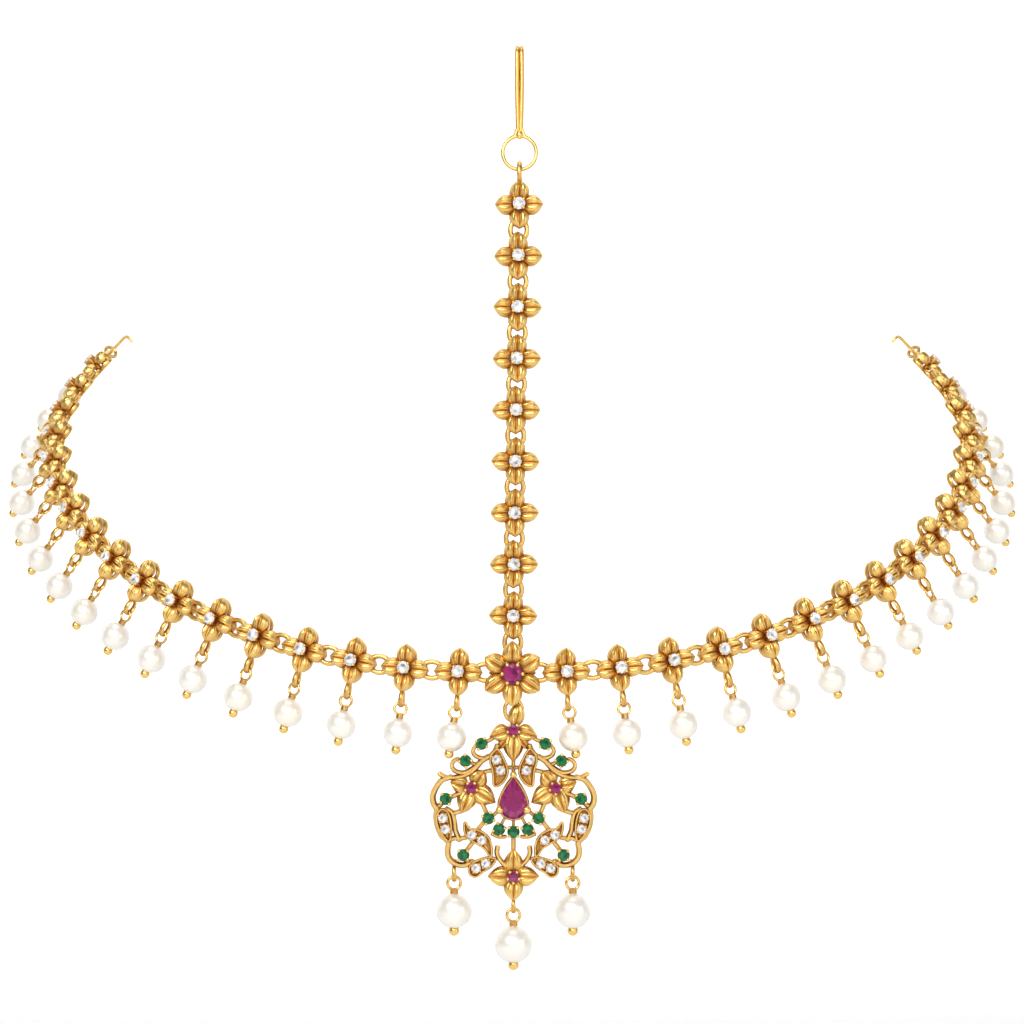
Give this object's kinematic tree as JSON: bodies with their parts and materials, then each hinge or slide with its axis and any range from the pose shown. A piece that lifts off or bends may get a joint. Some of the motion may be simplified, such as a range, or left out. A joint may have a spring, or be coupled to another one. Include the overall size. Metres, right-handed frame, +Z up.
{
  "type": "maang tikka with pearl side strands",
  "caption": "Gold flower-link head ornament with a hair hook, parting chain, pearl-hung side strands and a jewelled pendant that swings.",
  "frame": {"origin": "top of the hair hook, where the jewel is pinned into the hair", "axes": "+X to the wearer's left, as seen from the front to the right; -Y out of the face of the jewel; +Z up"},
  "size_m": [0.1632, 0.0817, 0.1296],
  "materials": {
    "gold": "antique matt gold with dark recesses",
    "pearl": "cream pearl lustre",
    "ruby": "faceted red stone",
    "emerald": "faceted green stone",
    "clear_stone": "faceted clear stone with a lavender tint"
  },
  "bodies": {
    "root": {"hair_hook": "gold", "parting_chain": "gold", "centre_flower": "gold", "strand_left": "gold", "strand_right": "gold", "end_hook_left": "gold", "end_hook_right": "gold", "pearl_drop_left_01": "pearl", "pearl_drop_left_02": "pearl", "pearl_drop_left_03": "pearl", "pearl_drop_left_04": "pearl", "pearl_drop_left_05": "pearl", "pearl_drop_left_06": "pearl", "pearl_drop_left_07": "pearl", "pearl_drop_left_08": "pearl", "pearl_drop_left_09": "pearl", "pearl_drop_left_10": "pearl", "pearl_drop_left_11": "pearl", "pearl_drop_left_12": "pearl", "pearl_drop_left_13": "pearl", "pearl_drop_left_14": "pearl", "pearl_drop_left_15": "pearl", "pearl_drop_left_16": "pearl", "pearl_drop_left_17": "pearl", "pearl_drop_right_01": "pearl", "pearl_drop_right_02": "pearl", "pearl_drop_right_03": "pearl", "pearl_drop_right_04": "pearl", "pearl_drop_right_05": "pearl", "pearl_drop_right_06": "pearl", "pearl_drop_right_07": "pearl", "pearl_drop_right_08": "pearl", "pearl_drop_right_09": "pearl", "pearl_drop_right_10": "pearl", "pearl_drop_right_11": "pearl", "pearl_drop_right_12": "pearl", "pearl_drop_right_13": "pearl", "pearl_drop_right_14": "pearl", "pearl_drop_right_15": "pearl", "pearl_drop_right_16": "pearl", "pearl_drop_right_17": "pearl"},
    "pendant": {"pendant_ring": "gold", "pendant_frame": "gold", "pear_ruby": "ruby", "pendant_drop_left": "pearl", "pendant_drop_right": "pearl", "pendant_drop_bottom": "pearl"}
  },
  "joints": [
    {"name": "pendant_swing", "type": "hinge", "parent": "root", "child": "pendant", "pos_m": [-0.00085, 0, -0.09171], "axis": [1, 0, 0], "range_deg": [-60, 60]}
  ]
}
